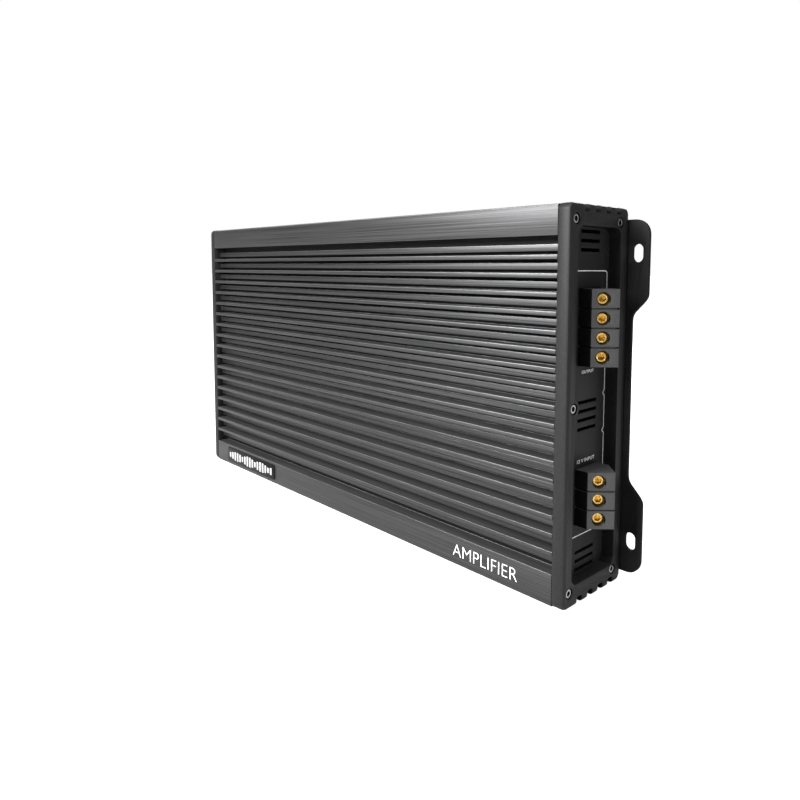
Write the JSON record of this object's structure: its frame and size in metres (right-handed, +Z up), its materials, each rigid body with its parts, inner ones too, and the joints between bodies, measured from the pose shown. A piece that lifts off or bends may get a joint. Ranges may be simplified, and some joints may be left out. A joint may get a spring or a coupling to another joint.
{
  "type": "car amplifier",
  "caption": "Car audio power amplifier with a finned heatsink, slotted steel base plate and screw terminals in a recessed end cap.",
  "frame": {"origin": "middle of the footprint it stands on, on its long lower edge", "axes": "+X along the length towards the terminal end, +Y from the finned face to the base plate, +Z up"},
  "size_m": [0.3922, 0.0566, 0.2],
  "materials": {
    "anodised_aluminium": "dark grey anodised, brushed along the length",
    "cap_finish": "dark grey satin",
    "black_steel": "fine-textured black powder coat",
    "nickel_steel": "bright nickel plate",
    "gilt_brass": "gold-coloured plate",
    "terminal_plastic": "fine-grained dark grey moulding",
    "badge_plastic": "satin black",
    "circuit_board": "green solder mask",
    "copper_winding": "enamelled copper wire",
    "blue_lens": "clear tinted lens",
    "red_lens": "clear tinted lens"
  },
  "bodies": {
    "chassis": {"heatsink": "anodised_aluminium", "base_plate": "black_steel", "terminal_end_cap": "cap_finish", "control_end_cap": "cap_finish", "badge": "badge_plastic", "speaker_terminal_block": "terminal_plastic", "power_terminal_block": "terminal_plastic", "terminal_cap_screw_1": "nickel_steel", "terminal_cap_screw_2": "nickel_steel", "terminal_cap_screw_3": "nickel_steel", "terminal_cap_screw_4": "nickel_steel", "terminal_cap_screw_5": "nickel_steel", "control_cap_screw_1": "nickel_steel", "control_cap_screw_2": "nickel_steel", "control_cap_screw_3": "nickel_steel", "control_cap_screw_4": "nickel_steel", "control_cap_screw_5": "nickel_steel", "base_plate_screw_1": "black_steel", "base_plate_screw_2": "black_steel", "base_plate_screw_3": "black_steel", "base_plate_screw_4": "black_steel", "base_plate_screw_5": "black_steel", "base_plate_screw_6": "black_steel", "terminal_contact_1": "gilt_brass", "terminal_contact_2": "gilt_brass", "terminal_contact_3": "gilt_brass", "terminal_contact_4": "gilt_brass", "terminal_contact_5": "gilt_brass", "terminal_contact_6": "gilt_brass", "terminal_contact_7": "gilt_brass", "rca_input_left": "gilt_brass", "rca_input_right": "gilt_brass", "gain_potentiometer": "black_steel", "low_pass_potentiometer": "black_steel", "subsonic_potentiometer": "black_steel", "bass_boost_potentiometer": "black_steel", "phase_switch_housing": "black_steel", "remote_level_jack": "nickel_steel", "power_indicator": "blue_lens", "protect_indicator": "red_lens", "main_circuit_board": "circuit_board", "control_circuit_board": "circuit_board", "power_transformer": "copper_winding", "output_inductor": "copper_winding", "supply_capacitor_1": "badge_plastic", "supply_capacitor_2": "badge_plastic", "transistor_clamp_bar": "anodised_aluminium"},
    "terminal_screw_1": {"terminal_screw_1": "gilt_brass"},
    "terminal_screw_2": {"terminal_screw_2": "gilt_brass"},
    "terminal_screw_3": {"terminal_screw_3": "gilt_brass"},
    "terminal_screw_4": {"terminal_screw_4": "gilt_brass"},
    "terminal_screw_5": {"terminal_screw_5": "gilt_brass"},
    "terminal_screw_6": {"terminal_screw_6": "gilt_brass"},
    "terminal_screw_7": {"terminal_screw_7": "gilt_brass"},
    "gain_knob": {"gain_knob": "badge_plastic"},
    "low_pass_knob": {"low_pass_knob": "badge_plastic"},
    "subsonic_knob": {"subsonic_knob": "badge_plastic"},
    "bass_boost_knob": {"bass_boost_knob": "badge_plastic"},
    "phase_switch_slider": {"phase_switch_slider": "badge_plastic"}
  },
  "joints": [
    {"name": "terminal_screw_1_travel", "type": "slide", "parent": "chassis", "child": "terminal_screw_1", "axis": [-0.7071, 0.7071, 0], "range_m": [-0.0025, 0.003]},
    {"name": "terminal_screw_2_travel", "type": "slide", "parent": "chassis", "child": "terminal_screw_2", "axis": [-0.7071, 0.7071, 0], "range_m": [-0.0025, 0.003]},
    {"name": "terminal_screw_3_travel", "type": "slide", "parent": "chassis", "child": "terminal_screw_3", "axis": [-0.7071, 0.7071, 0], "range_m": [-0.0025, 0.003]},
    {"name": "terminal_screw_4_travel", "type": "slide", "parent": "chassis", "child": "terminal_screw_4", "axis": [-0.7071, 0.7071, 0], "range_m": [-0.0025, 0.003]},
    {"name": "terminal_screw_5_travel", "type": "slide", "parent": "chassis", "child": "terminal_screw_5", "axis": [-0.7071, 0.7071, 0], "range_m": [-0.0025, 0.003]},
    {"name": "terminal_screw_6_travel", "type": "slide", "parent": "chassis", "child": "terminal_screw_6", "axis": [-0.7071, 0.7071, 0], "range_m": [-0.0025, 0.003]},
    {"name": "terminal_screw_7_travel", "type": "slide", "parent": "chassis", "child": "terminal_screw_7", "axis": [-0.7071, 0.7071, 0], "range_m": [-0.0025, 0.003]},
    {"name": "gain_knob_turn", "type": "hinge", "parent": "chassis", "child": "gain_knob", "pos_m": [-0.183, 0.0005, 0.136], "axis": [-1, 0, 0], "range_deg": [-140, 140]},
    {"name": "low_pass_knob_turn", "type": "hinge", "parent": "chassis", "child": "low_pass_knob", "pos_m": [-0.183, 0.0005, 0.117], "axis": [-1, 0, 0], "range_deg": [-140, 140]},
    {"name": "subsonic_knob_turn", "type": "hinge", "parent": "chassis", "child": "subsonic_knob", "pos_m": [-0.183, 0.0005, 0.098], "axis": [-1, 0, 0], "range_deg": [-140, 140]},
    {"name": "bass_boost_knob_turn", "type": "hinge", "parent": "chassis", "child": "bass_boost_knob", "pos_m": [-0.183, 0.0005, 0.079], "axis": [-1, 0, 0], "range_deg": [-140, 140]},
    {"name": "phase_switch_slide", "type": "slide", "parent": "chassis", "child": "phase_switch_slider", "axis": [0, 1, 0], "range_m": [0, 0.003]}
  ]
}
